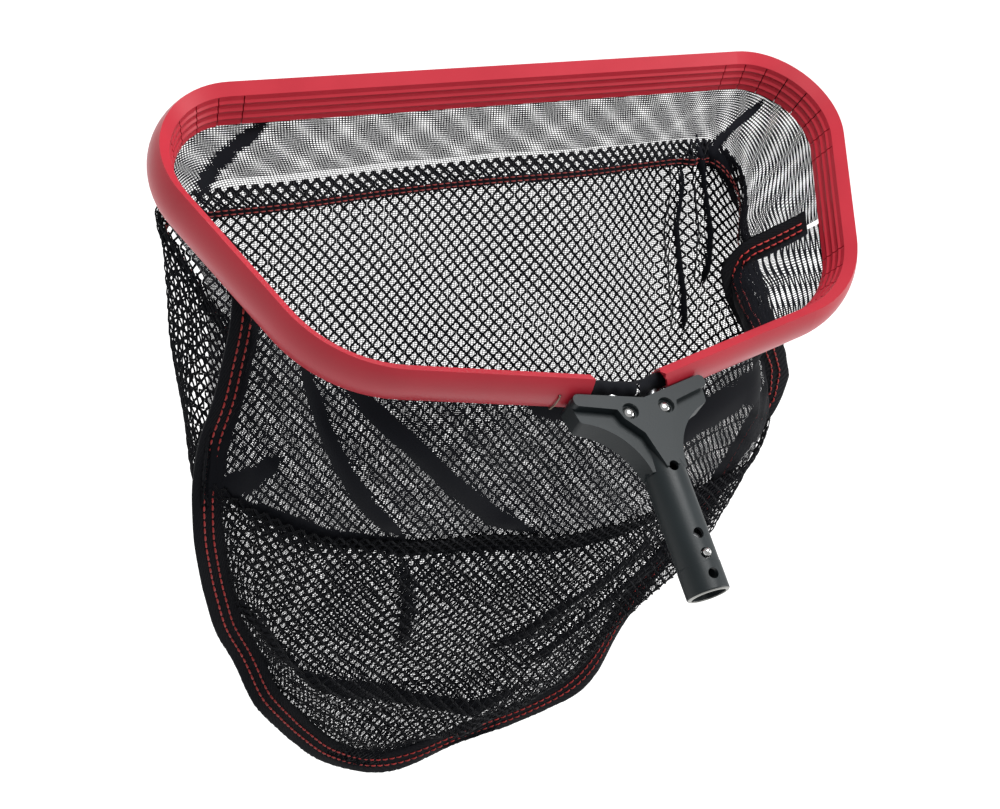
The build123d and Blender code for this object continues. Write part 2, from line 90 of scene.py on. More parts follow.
def hoop_origin():
    """Rear point of the crest line, from where the spigot ends."""
    spigot_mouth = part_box("handle_casting")[0].y
    return np.array([
        0.0,
        spigot_mouth + SPIGOT_END + AXIS_DROP * math.sin(HANDLE_SLOPE),
        AXIS_DROP * math.cos(HANDLE_SLOPE),
    ])


def hoop_axes():
    """Rows are the hoop's X, Y and Z in the row frame."""
    c, s = math.cos(HANDLE_SLOPE), math.sin(HANDLE_SLOPE)
    return np.array([[1.0, 0.0, 0.0], [0.0, c, -s], [0.0, s, c]])


def to_row(points):
    """Points of the hoop's frame, moved into the row frame."""
    return np.asarray(points) @ hoop_axes() + hoop_origin()


# ---- settings ----


class LeafNetBag(bpy.types.PropertyGroup):
    """Cut and hang of the bag."""

    depth: FloatProperty(
        name="Depth", description="Seam length from the rim to the foot, along the hang",
        default=0.472, min=0.2, max=0.9, subtype="DISTANCE", unit="LENGTH",
    )
    tilt: FloatProperty(
        name="Tilt", description="Hang direction, back from the hoop's normal",
        default=math.radians(27), subtype="ANGLE", unit="ROTATION",
    )
    ruffle: FloatProperty(
        name="Ruffle", description="Waves along the edge tape",
        default=0.0035, min=0, max=0.01, subtype="DISTANCE", unit="LENGTH",
    )
    slack: FloatProperty(
        name="Slack", description="Height of the soft waves in the panels",
        default=0.006, min=0, max=0.02, subtype="DISTANCE", unit="LENGTH",
    )


class LeafNetMesh(bpy.types.PropertyGroup):
    """Pitches and threads of the two nets."""

    cell: FloatProperty(
        name="Cell Width", description="Width of a coarse net cell",
        default=0.0088, min=0.004, max=0.02, subtype="DISTANCE", unit="LENGTH",
    )
    row: FloatProperty(
        name="Row Height", description="Height of one row of coarse cells",
        default=0.0046, min=0.002, max=0.02, subtype="DISTANCE", unit="LENGTH",
    )
    strand: FloatProperty(
        name="Strand", description="Thickness of a coarse strand",
        default=0.0019, min=0.0005, max=0.003, subtype="DISTANCE", unit="LENGTH",
    )
    fine_across: FloatProperty(
        name="Fine Pitch Across", description="Thread pitch of the fine mesh, across",
        default=0.0022, min=0.001, max=0.006, subtype="DISTANCE", unit="LENGTH",
    )
    fine_down: FloatProperty(
        name="Fine Pitch Down", description="Thread pitch of the fine mesh, down",
        default=0.0015, min=0.001, max=0.006, subtype="DISTANCE", unit="LENGTH",
    )
    thread: FloatProperty(
        name="Fine Thread", description="Thread thickness of the fine mesh",
        default=0.00050, min=0.0001, max=0.001, subtype="DISTANCE", unit="LENGTH",
    )


class LeafNetFinish(bpy.types.PropertyGroup):
    """Colours."""

    cover: FloatVectorProperty(
        name="Rim Cover", description="Colour of the rim cover",
        default=(0.50, 0.021, 0.039), subtype="COLOR", size=3, min=0, max=1,
    )
    fabric: FloatVectorProperty(
        name="Fabric", description="Colour of the nets, the tape and the sleeve",
        default=(0.0026, 0.0031, 0.0052), subtype="COLOR", size=3, min=0, max=1,
    )
    thread: FloatVectorProperty(
        name="Stitching", description="Colour of the sewing thread",
        default=(0.52, 0.022, 0.020), subtype="COLOR", size=3, min=0, max=1,
    )
    casting: FloatVectorProperty(
        name="Handle", description="Colour of the handle's coating",
        default=(0.009, 0.014, 0.016), subtype="COLOR", size=3, min=0, max=1,
    )


class LeafNetStage(bpy.types.PropertyGroup):
    """Camera and studio."""

    lens: FloatProperty(
        name="Focal Length", description="Focal length on a 36 mm sensor", default=61.85, min=20, max=200,
    )
    floor_gap: FloatProperty(
        name="Floor Gap", description="From the bag's foot down to the floor",
        default=0.9, min=0, max=3, subtype="DISTANCE", unit="LENGTH",
    )


# ---- shader maths ----


class Wire:
    """A shader value that takes part in ordinary arithmetic."""

    def __init__(self, paint, socket):
        self.paint = paint
        self.socket = socket

    def _with(self, operation, *others):
        inputs = {0: self}
        for place, other in enumerate(others, 1):
            inputs[place] = other
        return self.paint.node("ShaderNodeMath", {"operation": operation}, inputs).wire("Value")

    def _from(self, operation, other):
        return self.paint.node("ShaderNodeMath", {"operation": operation}, {0: other, 1: self}).wire("Value")

    def __add__(self, other):
        return self._with("ADD", other)

    def __sub__(self, other):
        return self._with("SUBTRACT", other)

    def __mul__(self, other):
        return self._with("MULTIPLY", other)

    def __rsub__(self, other):
        return self._from("SUBTRACT", other)

    __radd__ = __add__
    __rmul__ = __mul__

    def less_than(self, other):
        return self._with("LESS_THAN", other)

    def greater_than(self, other):
        return self._with("GREATER_THAN", other)

    def largest(self, other):
        return self._with("MAXIMUM", other)

    def ping_pong(self, scale):
        return self._with("PINGPONG", scale)

    def sine(self):
        return self._with("SINE")


class Made:
    """A node, whose outputs come out as wires."""

    def __init__(self, paint, made):
        self.paint = paint
        self.made = made

    def wire(self, name=0):
        return Wire(self.paint, self.made.outputs[name])


class Paint:
    """A material and the nodes that make it."""

    def __init__(self, name, **constants):
        self.material = bpy.data.materials.new(name)
        self.material.use_nodes = True
        self.tree = self.material.node_tree
        self.tree.nodes.clear()
        self.shader = self.tree.nodes.new("ShaderNodeBsdfPrincipled")
        output = self.tree.nodes.new("ShaderNodeOutputMaterial")
        self.tree.links.new(self.shader.outputs[0], output.inputs["Surface"])
        for socket, value in constants.items():
            self.shader.inputs[socket.replace("_", " ")].default_value = value

    def node(self, kind, settings=None, inputs=None):
        made = self.tree.nodes.new(kind)
        for name, value in (settings or {}).items():
            setattr(made, name, value)
        for name, value in (inputs or {}).items():
            if isinstance(value, Wire):
                self.tree.links.new(value.socket, made.inputs[name])
            else:
                made.inputs[name].default_value = value
        return Made(self, made)

    def place(self):
        """Position on the piece, in metres."""
        return self.node("ShaderNodeTexCoord").wire("Object")

    def parts(self, vector):
        apart = self.node("ShaderNodeSeparateXYZ", None, {0: vector})
        return apart.wire("X"), apart.wire("Y"), apart.wire("Z")

    def noise(self, size, detail=2.0):
        """Noise whose features are about size metres across."""
        return self.node(
            "ShaderNodeTexNoise", {"noise_dimensions": "3D"},
            {"Vector": self.place(), "Scale": 1.0 / size, "Detail": detail},
        ).wire("Fac")

    def between(self, share, first, second):
        """Colour between two colours or colour wires."""
        mix = self.node("ShaderNodeMix", {"data_type": "RGBA"}, {"Factor": share})
        for name, value in (("A", first), ("B", second)):
            socket = next(s for s in mix.made.inputs if s.name == name and s.type == "RGBA")
            if isinstance(value, Wire):
                self.tree.links.new(value.socket, socket)
            else:
                socket.default_value = (*value, 1.0)
        return Wire(self, next(s for s in mix.made.outputs if s.type == "RGBA"))

    def bump(self, height, distance, strength=1.0):
        return self.node(
            "ShaderNodeBump", None, {"Height": height, "Distance": distance, "Strength": strength}
        ).wire("Normal")

    def feed(self, **wires):
        for name, value in wires.items():
            self.tree.links.new(value.socket, self.shader.inputs[name.replace("_", " ")])
        return self.material


def shade(colour, factor):
    return tuple(min(1.0, channel * factor) for channel in colour)


def cover_plastic(colour):
    """Soft red vinyl, dulled here and there by handling, with a fine grain."""
    paint = Paint("cover_plastic", Roughness=0.36, Specular_IOR_Level=0.45, Coat_Roughness=0.3)
    cloud = paint.noise(0.045, 3.0)
    grain = paint.noise(0.0012, 2.0)
    tone = paint.between(cloud, shade(colour, 0.86), shade(colour, 1.12))
    rough = 0.27 + cloud * 0.16 + grain * 0.06
    return paint.feed(
        Base_Color=tone, Roughness=rough, Normal=paint.bump(grain, 0.00006, 0.5)
    )


def strand_yarn(name, colour, twist=0.0011):
    """Black yarn: short twisted fibres with a dusty bloom."""
    paint = Paint(name, Roughness=0.82, Specular_IOR_Level=0.16, Sheen_Weight=0.04, Sheen_Roughness=0.5)
    fibre = paint.noise(twist, 3.0)
    bloom = paint.noise(0.03, 2.0)
    tone = paint.between(fibre * 0.7 + bloom * 0.3, shade(colour, 0.55), shade(colour, 2.1))
    return paint.feed(Base_Color=tone, Normal=paint.bump(fibre, 0.0003, 0.8))


def tape_cloth(name, colour):
    """Black woven tape: a fine diagonal twill with fuzz."""
    paint = Paint(name, Roughness=0.88, Specular_IOR_Level=0.14, Sheen_Weight=0.05, Sheen_Roughness=0.6)
    across, along, _ = paint.parts(paint.node("ShaderNodeUVMap", {"uv_map": BAKE_UV}).wire("UV"))
    fuzz = paint.noise(0.0009, 4.0)
    twill = ((across * 60.0 + along * 1400.0) * 1.0).sine() * 0.5 + 0.5
    relief = twill * 0.6 + fuzz * 0.8
    tone = paint.between(fuzz * 0.8, shade(colour, 0.5), shade(colour, 2.4))
    return paint.feed(Base_Color=tone, Normal=paint.bump(relief, 0.0004, 0.8))


def fine_mesh(name, colour, mesh, flat, cuff):
    """Open fine net, doubled above the cuff line and closing up where it is folded."""
    paint = Paint(name, Roughness=0.80, Specular_IOR_Level=0.15)
    across, down, _ = paint.parts(paint.node("ShaderNodeUVMap", {"uv_map": BAKE_UV}).wire("UV"))
    fold = paint.node("ShaderNodeAttribute", {"attribute_name": FOLD}).wire("Fac")
    wander = paint.noise(0.05, 1.0)
    ragged = paint.noise(0.004, 2.0)
    x = across * flat[0] + wander * 0.004
    y = (1.0 - down) * flat[1] + wander * 0.003
    closing = (fold * 1.5 + ragged * 0.3 - 0.35).largest(0.0)

    def threads(x_place, y_place):
        upright = x_place.ping_pong(mesh.fine_across / 2)
        level = y_place.ping_pong(mesh.fine_down / 2)
        return upright.less_than(closing * (mesh.fine_across / 2) + mesh.thread / 2).largest(
            level.less_than(closing * (mesh.fine_down / 2) + mesh.thread / 2)
        )

    body = threads(x, y)
    second = threads(x * 1.035 + y * 0.06 + 0.3, y * 1.05 - x * 0.05 + 0.2)
    doubled = second * y.less_than(cuff)
    fibre = paint.noise(0.0008, 2.0)
    tone = paint.between(fibre, shade(colour, 0.7), shade(colour, 2.2))
    return paint.feed(Base_Color=tone, Alpha=body.largest(doubled), Normal=paint.bump(fibre, 0.0001, 0.5))


def sewing_thread(colour):
    paint = Paint("sewing_thread", Roughness=0.55, Sheen_Weight=0.2)
    fibre = paint.noise(0.0007, 2.0)
    wear = paint.noise(0.02, 2.0)
    tone = paint.between(wear * 0.7 + fibre * 0.3, shade(colour, 0.55), shade(colour, 1.35))
    return paint.feed(Base_Color=tone, Normal=paint.bump(fibre, 0.0001, 0.6))


def handle_coating(colour, mouth_y):
    """Satin powder coat over a casting, with the bare machined face at the spigot's mouth."""
    paint = Paint("handle_coating", Metallic=0.0, Roughness=0.4, Specular_IOR_Level=0.38)
    place = paint.place()
    _, along, _ = paint.parts(place)
    skin = paint.noise(0.0011, 2.0)
    cloud = paint.noise(0.03, 2.0)
    rub = paint.noise(0.006, 4.0)
    bare = along.less_than(mouth_y + 0.0007) * rub.greater_than(0.30)
    tone = paint.between(cloud, shade(colour, 0.8), shade(colour, 1.3))
    return paint.feed(
        Base_Color=paint.between(bare, tone, (0.42, 0.42, 0.40)),
        Metallic=bare * 0.9,
        Roughness=0.36 + cloud * 0.12 + skin * 0.06,
        Normal=paint.bump(skin + rub * 0.3, 0.00012, 0.5),
    )


def metal(name, colour, rough, size=0.004):
    """Plain metal with faint handling marks."""
    paint = Paint(name, Metallic=1.0, Roughness=rough)
    marks = paint.noise(size, 4.0)
    hair = paint.noise(size / 12, 2.0)
    return paint.feed(
        Base_Color=paint.between(marks, shade(colour, 0.85), shade(colour, 1.05)),
        Roughness=rough * 0.7 + marks * rough * 0.6,
        Normal=paint.bump(hair, 0.00002, 0.4),
    )


# ---- shapes ----


def rounded_line(points, radii, count):
    """Evenly spaced points along a line whose inner corners are rounded."""
    points = [np.asarray(p, float) for p in points]
    out = [points[0]]
    for before, at, after, radius in zip(points, points[1:], points[2:], radii):
        back, forward = before - at, after - at
        back_length, forward_length = np.linalg.norm(back), np.linalg.norm(forward)
        back, forward = back / back_length, forward / forward_length
        half = math.acos(np.clip(back @ forward, -1, 1)) / 2
        reach = min(radius / math.tan(half), 0.49 * back_length, 0.49 * forward_length)
        middle = (back + forward) / np.linalg.norm(back + forward)
        centre = at + middle * reach / math.cos(half)
        first, last = at + back * reach - centre, at + forward * reach - centre
        turn = math.pi - 2 * half
        for share in np.linspace(0, 1, 13):
            out.append(centre + (
                first * math.sin((1 - share) * turn) + last * math.sin(share * turn)
            ) / math.sin(turn))
    out.append(points[-1])
    out = np.array(out)
    steps = np.r_[0, np.cumsum(np.linalg.norm(np.diff(out, axis=0), axis=1))]
    even = np.linspace(0, steps[-1], count)
    return np.c_[np.interp(even, steps, out[:, 0]), np.interp(even, steps, out[:, 1])], steps[-1]


# the sewn edge of the hanging bag in the seam's plane: left and right of each depth
SEAM_LEFT = (
    (0.0, -0.2290), (0.031, -0.2300), (0.085, -0.2370), (0.114, -0.2450), (0.160, -0.2480),
    (0.195, -0.2470), (0.235, -0.2390), (0.278, -0.2280), (0.310, -0.2120), (0.349, -0.1980),
    (0.393, -0.1680), (0.425, -0.1420), (0.446, -0.1150), (0.455, -0.0950), (0.4575, -0.0820),
)
SEAM_RIGHT = (
    (0.0, 0.2290), (0.060, 0.2300), (0.116, 0.2270), (0.160, 0.2250), (0.199, 0.2120), (0.240, 0.1910),
    (0.274, 0.1730), (0.318, 0.1420), (0.376, 0.1120), (0.405, 0.0980), (0.424, 0.0820), (0.436, 0.0500),
    (0.443, 0.0180), (0.451, -0.0350), (0.4565, -0.0700), (0.4575, -0.0820),
)
# the right-hand seam caves inwards near the rim: depth, how far
DIP = (
    (0.0, 0.0), (0.004, 0.002), (0.015, 0.030), (0.026, 0.062), (0.036, 0.070), (0.055, 0.062),
    (0.075, 0.047), (0.094, 0.030), (0.116, 0.012), (0.140, 0.0),
)


def looked_up(table, depth):
    places, values = zip(*table)
    return np.interp(depth, places, values)


def dip_of(panel_depth):
    return looked_up(DIP, panel_depth)


def seam_ahead(bag, share):
    return SEAM_TOP - share * bag.depth * math.sin(bag.tilt)


def bag_height(bag, share):
    return BAG_TOP - share * bag.depth * math.cos(bag.tilt)


def panel_outline(bag, side, layer, share):
    """Corners and radii of a panel's outline at a share of the depth, from left to right."""
    ahead = seam_ahead(bag, share)
    depth = share * bag.depth
    left, right = -looked_up(SEAM_LEFT, depth), looked_up(SEAM_RIGHT, depth)
    if side == "front":
        rim_x, rim_y = FRONT_HALF + RIM_LINE, HOOP_DEPTH + RIM_LINE
        reach = (rim_y - SEAM_TOP) * (1 - share) ** 1.1
        seam_y, corner_y = ahead + SEAM_CLEAR, ahead + reach
        middles, radii = [], [FRONT_RADIUS * (1 - 0.3 * share)] * 2
    else:
        rim_x, rim_y = REAR_HALF + RIM_LINE, REAR_RISE - RIM_LINE
        shrink = (1 - share) ** 0.9
        seam_y, corner_y = ahead - SEAM_CLEAR, ahead - (SEAM_TOP - rim_y) * shrink
        middles = [((right - left) / 2 * share, ahead - (SEAM_TOP + RIM_LINE) * shrink)]
        radii = [REAR_RADIUS * (1 - 0.3 * share)] * 3
    corners = [rim_x * (1 - share) + 0.62 * half * share for half in (left, right)]
    if side == "front" and layer == "liner":
        corners[0] -= LINER_INSET * smooth(0.03, 0.12, share) * (1 - smooth(0.7, 1.0, share))
    first = np.array([-corners[0], corner_y])
    if side == "front" and layer == "net":
        radii[0] = max(0.012, FRONT_RADIUS - 0.5 * share)
        back, forward = np.array([-left, seam_y]) - first, np.array([1.0, 0.0])
        back = back / np.linalg.norm(back)
        half = math.acos(back @ forward) / 2
        inwards = (back + forward) / np.linalg.norm(back + forward)
        held = 0.65 * (1 - smooth(0.08, 0.42, share))
        first = first + inwards * held * (FRONT_RADIUS - radii[0]) * (1 / math.sin(half) - 1)
    return [(-left, seam_y), first, *middles, (corners[1], corner_y), (right, seam_y)], radii


def smooth(low, high, values):
    share = np.clip((values - low) / (high - low), 0, 1)
    return share * share * (3 - 2 * share)


def distance_to_line(points, line):
    """Distance of flat points from a line, and how far along it they are, from 0 to 1."""
    best = np.full(points.shape[:-1], 1e9)
    along = np.zeros(points.shape[:-1])
    line = np.asarray(line, float)
    lengths = np.linalg.norm(np.diff(line, axis=0), axis=1)
    run = np.r_[0, np.cumsum(lengths)]
    for place, (start, end) in enumerate(zip(line, line[1:])):
        step = end - start
        share = np.clip(((points - start) @ step) / (step @ step), 0, 1)
        away = np.linalg.norm(points - (start + share[..., None] * step), axis=-1)
        nearer = away < best
        best[nearer] = away[nearer]
        along[nearer] = ((run[place] + share * lengths[place]) / run[-1])[nearer]
    return best, along


# creases on the flat cuts, in metres across and down from the middle of the rim, each with a
# half width, a rise out of the bag and how many layers thick it looks, from 0 to 1
REAR_CREASES = (
    (((-0.262, 0.150), (-0.246, 0.141), (-0.220, 0.140), (-0.190, 0.136), (-0.132, 0.144), (-0.072, 0.151),
      (-0.006, 0.154), (0.044, 0.152), (0.100, 0.156)), 0.0070, -0.004, 1.0),
    (((-0.224, 0.004), (-0.214, 0.018), (-0.189, 0.053), (-0.154, 0.099), (-0.118, 0.135)),
     0.0052, 0.005, 1.0),
    (((-0.195, 0.004), (-0.176, 0.014), (-0.143, 0.039), (-0.101, 0.079), (-0.054, 0.121), (-0.015, 0.140)),
     0.0060, 0.006, 1.0),
    (((-0.241, 0.138), (-0.232, 0.118), (-0.218, 0.088)), 0.0055, 0.003, 0.8),
    (((-0.274, 0.010), (-0.268, 0.060), (-0.264, 0.100), (-0.262, 0.160)), 0.0150, 0.0, 1.0),
    (((-0.165, 0.264), (-0.119, 0.284), (-0.057, 0.320), (0.002, 0.336), (0.055, 0.330)),
     0.0085, 0.006, 0.95),
    (((-0.116, 0.152), (-0.095, 0.200), (-0.080, 0.255)), 0.0060, 0.005, 0.55),
    (((-0.212, 0.226), (-0.186, 0.240), (-0.150, 0.270)), 0.0060, 0.004, 0.8),
    (((-0.005, 0.272), (0.035, 0.222), (0.067, 0.200), (0.115, 0.180)), 0.0075, 0.007, 0.95),
    (((0.030, 0.300), (0.077, 0.262), (0.118, 0.232), (0.150, 0.205)), 0.0060, 0.006, 0.95),
    (((0.050, 0.066), (0.090, 0.052), (0.150, 0.046), (0.215, 0.060)), 0.0170, 0.006, 0.72),
    (((-0.070, 0.004), (-0.035, 0.016), (0.000, 0.030), (0.035, 0.044)), 0.0100, 0.004, 0.70),
)
FRONT_CREASES = (
    (((0.196, 0.040), (0.190, 0.061), (0.198, 0.090), (0.200, 0.118), (0.190, 0.170)), 0.0034, -0.009, 0.95),
    (((0.164, 0.050), (0.166, 0.080), (0.160, 0.110), (0.170, 0.160), (0.182, 0.210)), 0.0030, -0.007, 0.95),
    (((-0.240, 0.050), (-0.209, 0.030), (-0.192, 0.018), (-0.168, 0.004)), 0.0040, -0.005, 0.75),
    (((0.246, 0.006), (0.238, 0.032), (0.217, 0.050), (0.200, 0.062)), 0.0032, -0.006, 0.8),
    (((0.185, 0.055), (0.215, 0.056), (0.235, 0.062), (0.252, 0.080)), 0.0095, -0.004, 0.95),
)


class Panel:
    """A hung panel of the bag: its surface over the flat cut."""

    ROWS, COLUMNS = 150, 220

    def __init__(self, bag, side, layer="net", end_share=0.965):
        self.side = side
        shares = np.linspace(0, end_share, self.ROWS)
        rows, widths = [], []
        for share in shares:
            line, width = rounded_line(*panel_outline(bag, side, layer, share), self.COLUMNS)
            rows.append(np.c_[line, np.full(self.COLUMNS, bag_height(bag, share))])
            widths.append(width)
        self.grid = np.array(rows)
        middle = self.grid[:, self.COLUMNS // 2]
        self.downs = np.r_[0, np.cumsum(np.linalg.norm(np.diff(middle, axis=0), axis=1))]
        self.widths = np.array(widths)
        self.flat = (float(self.widths.max()), float(self.downs[-1]))
        share_across = np.linspace(-1, 1, self.COLUMNS)
        self.across = share_across[None, :] * self.widths[:, None] / 2
        self.down = np.repeat(self.downs[:, None], self.COLUMNS, axis=1)
        self._set_normals()
        rise, self.folds = self._waves(bag, share_across, shares)
        self.grid = self.grid + self.normals * rise[..., None]
        self._cave_in(share_across, shares * bag.depth)
        self._bind(bag, shares * bag.depth)
        self._set_normals()

    def _waves(self, bag, share_across, shares):
        """Soft waves and creases of the slack cloth, flat at the rim and at the tape."""
        u, v = share_across[None, :], shares[:, None]
        free = smooth(0.0, 0.12, v) * smooth(0.0, 0.16, 1 - np.abs(u))
        turn = 2.1 if self.side == "front" else 4.7
        waves = (
            np.sin(7.3 * u + 3.1 * v + turn) * 0.5
            + np.sin(11.7 * u - 6.2 * v + 1.7 * turn) * 0.3
            + np.sin(4.1 * u + 12.4 * v + 0.6 * turn) * 0.35
            + np.sin(19.0 * u + 9.0 * v) * 0.12
        )
        rise = waves * bag.slack * free
        flat = np.stack([self.across, self.down], axis=-1)
        folds = np.zeros(rise.shape)
        for line, width, height, layers in REAR_CREASES if self.side == "rear" else FRONT_CREASES:
            away, along = distance_to_line(flat, line)
            fade = smooth(0, 0.16, along) * smooth(0, 0.16, 1 - along)
            spread = width * (0.35 + 0.65 * fade)
            rise = rise + height * fade * free * np.exp(-((away / (1.8 * spread)) ** 2))
            folds = np.maximum(folds, layers * (0.4 + 0.6 * fade) * np.exp(-((away / spread) ** 4)))
        return rise, folds

    def _cave_in(self, share_across, depths):
        """Push the right-hand edge inwards below the rim."""
        weight = smooth(0.25, 1.0, share_across)[None, :]
        self.grid[..., 0] -= dip_of(depths)[:, None] * weight

    def _bind(self, bag, depths):
        """Flatten the cloth into the edge tape along the seam."""
        origin, across_axis, down_axis, out_axis = seam_frame(bag)
        seam, _ = seam_line(0.0, 700)
        offset = self.grid - origin
        placed = np.stack([offset @ across_axis, offset @ down_axis], axis=-1)
        near, _ = distance_to_line(placed, seam[::3])
        inwards = self.half_width(self.downs)[:, None] - np.abs(self.across)
        low = smooth(0.20, 0.34, depths)[:, None]
        away = inwards * (1 - low) + np.minimum(inwards, near) * low
        pinned = (1 - smooth(0.012, 0.036, away)) * smooth(0.004, 0.030, depths)[:, None]
        out = offset @ out_axis
        self.grid = self.grid - (out * pinned)[..., None] * out_axis
        self.bound = pinned

    def _set_normals(self):
        across = np.gradient(self.grid, axis=1)
        down = np.gradient(self.grid, axis=0)
        normals = np.cross(across, down)
        outwards = 1.0 if self.side == "front" else -1.0
        flip = np.sign(normals[..., 1] * outwards + 1e-12)
        middle = flip[self.ROWS // 3, self.COLUMNS // 2]
        self.normals = normals / np.linalg.norm(normals, axis=-1, keepdims=True) * middle

    def at(self, across, down):
        """Surface points, outward normals and how firmly the tape holds them, on the flat cut."""
        across, down = np.broadcast_arrays(np.asarray(across, float), np.asarray(down, float))
        row = np.interp(down, self.downs, np.arange(self.ROWS))
        width = np.interp(down, self.downs, self.widths)
        column = (np.clip(2 * across / width, -1, 1) + 1) / 2 * (self.COLUMNS - 1)
        r = np.clip(row.astype(int), 0, self.ROWS - 2)
        c = np.clip(column.astype(int), 0, self.COLUMNS - 2)
        fr, fc = (row - r)[..., None], (column - c)[..., None]
        made = []
        for field in (self.grid, self.normals, self.bound[..., None]):
            upper = field[r, c] * (1 - fc) + field[r, c + 1] * fc
            lower = field[r + 1, c] * (1 - fc) + field[r + 1, c + 1] * fc
            made.append(upper * (1 - fr) + lower * fr)
        return made[0], made[1] / np.linalg.norm(made[1], axis=-1, keepdims=True), made[2]

    def half_width(self, down):
        return np.interp(down, self.downs, self.widths) / 2


def add_mesh(name, points, faces, uv=None, material=None, smooth_faces=True):
    """A mesh object from row-frame points, faces of one size and one UV for each point."""
    mesh = bpy.data.meshes.new(name)
    faces = np.asarray(faces, np.int32)
    corners = faces.shape[1]
    mesh.vertices.add(len(points))
    mesh.vertices.foreach_set("co", np.asarray(points, np.float32).ravel())
    mesh.loops.add(faces.size)
    mesh.loops.foreach_set("vertex_index", faces.ravel())
    mesh.polygons.add(len(faces))
    mesh.polygons.foreach_set("loop_start", np.arange(len(faces), dtype=np.int32) * corners)
    mesh.polygons.foreach_set("use_smooth", np.full(len(faces), smooth_faces))
    mesh.update(calc_edges=True)
    if uv is not None:
        layer = mesh.uv_layers.new(name=BAKE_UV)
        layer.data.foreach_set("uv", np.asarray(uv, np.float32)[faces.ravel()].ravel())
    if material is not None:
        mesh.materials.append(material)
    mesh.validate()
    made = bpy.data.objects.new(name, mesh)
    bpy.context.scene.collection.objects.link(made)
    return made


def grid_faces(rows, columns):
    index = np.arange(rows * columns).reshape(rows, columns)
    return np.stack(
        [index[:-1, :-1], index[:-1, 1:], index[1:, 1:], index[1:, :-1]], axis=-1
    ).reshape(-1, 4)


def tube(line, normals, radius, sides, uv, start, flatness=1.0):
    """Rings along a line of hoop-frame points. Returns points, faces and UVs."""
    along = np.gradient(line, axis=0)
    along /= np.linalg.norm(along, axis=1, keepdims=True) + 1e-12
    aside = np.cross(along, normals)
    aside /= np.linalg.norm(aside, axis=1, keepdims=True) + 1e-12
    up = np.cross(aside, along)
    radius = np.broadcast_to(radius, len(line))[:, None]
    rings = []
    for side in range(sides):
        turn = 2 * math.pi * side / sides
        rings.append(line + radius * (flatness * math.cos(turn) * up + math.sin(turn) * aside))
    points = np.stack(rings, axis=1).reshape(-1, 3)
    index = start + np.arange(len(line) * sides).reshape(len(line), sides)
    faces = np.stack(
        [index[:-1], np.roll(index[:-1], -1, axis=1), np.roll(index[1:], -1, axis=1), index[1:]], axis=-1
    ).reshape(-1, 4)
    return points, faces, np.repeat(uv, sides, axis=0)


def knit(panel, mesh, top, bottom, lift, shift=0.0, row_share=1.0):
    """Strands of the coarse net: upright yarns that zigzag and meet their neighbours in turn."""
    strand = mesh.strand
    wale = mesh.cell / 2
    row = mesh.row * row_share
    swing = (wale - strand * 0.85) / 2
    joint = row * 0.42
    half_top = panel.half_width(np.linspace(top, bottom, 60)).max()
    count = int(half_top / wale)
    all_points, all_faces, all_uv, start = [], [], [], 0
    rng = np.random.default_rng(11 if panel.side == "front" else 12)
    for place in range(-count, count + 1):
        middle = (place + shift) * wale
        rows = int((bottom - top) / row) + 1
        down = top + np.repeat(np.arange(rows), 2) * row + np.tile([0.0, joint], rows)
        sign = np.repeat(np.where((np.arange(rows) + place) % 2 == 0, 1.0, -1.0), 2)
        wander = 0.0012 * np.sin(down * 31 + middle * 17) + 0.0009 * np.sin(down * 67 - middle * 41)
        across = middle + swing * sign + wander + rng.normal(0, 0.00012, len(down))
        kept = (np.abs(across) < panel.half_width(down) - 0.004) & (down <= bottom)
        if kept.sum() < 4:
            continue
        first, last = np.flatnonzero(kept)[[0, -1]]
        down, across, sign = down[first:last + 1], across[first:last + 1], sign[first:last + 1]
        line, normals, bound = panel.at(across, down)
        weave = 0.2 * strand * sign[:, None] * (1 if place % 2 else -1)
        line = line + normals * (lift + weave) * (1 - bound)
        uv = np.c_[across / panel.flat[0] + 0.5, 1 - down / panel.flat[1]]
        points, faces, uvs = tube(line, normals, strand * 0.58, 3, uv, start, 0.55)
        start += len(points)
        all_points.append(points)
        all_faces.append(faces)
        all_uv.append(uvs)
    return np.vstack(all_points), np.vstack(all_faces), np.vstack(all_uv)


def stitch_row(line, normals, length, gap, thickness):
    """Separate stitches laid along a line of hoop-frame points, each a small rounded bar."""
    run = np.r_[0, np.cumsum(np.linalg.norm(np.diff(line, axis=0), axis=1))]
    all_points, all_faces, start = [], [], 0
    profile = np.array([0.0, 0.16, 0.5, 0.84, 1.0])
    swell = np.array([0.25, 0.85, 1.0, 0.85, 0.25])
    dip = np.array([-0.35, 0.1, 0.35, 0.1, -0.35])
    for begin in np.arange(gap, run[-1] - length - gap, length + gap):
        spots = begin + profile * length
        centre = np.stack([np.interp(spots, run, line[:, k]) for k in range(3)], axis=1)
        up = np.stack([np.interp(spots, run, normals[:, k]) for k in range(3)], axis=1)
        centre = centre + up * (dip * thickness)[:, None]
        points, faces, _ = tube(centre, up, swell * thickness / 2, 4, np.zeros((5, 2)), start)
        start += len(points)
        all_points.append(points)
        all_faces.append(faces)
    return np.vstack(all_points), np.vstack(all_faces)


def joined(parts):
    """Several (points, faces) put together."""
    points, faces, start = [], [], 0
    for some_points, some_faces in parts:
        points.append(some_points)
        faces.append(some_faces + start)
        start += len(some_points)
    return np.vstack(points), np.vstack(faces)


def seam_frame(bag):
    """Origin and axes of the seam's plane: across, down the hang, and out towards the handle."""
    c, s = math.cos(bag.tilt), math.sin(bag.tilt)
    origin = np.array([0.0, SEAM_TOP, BAG_TOP])
    return origin, np.array([1.0, 0, 0]), np.array([0, -s, -c]), np.array([0, -c, s])


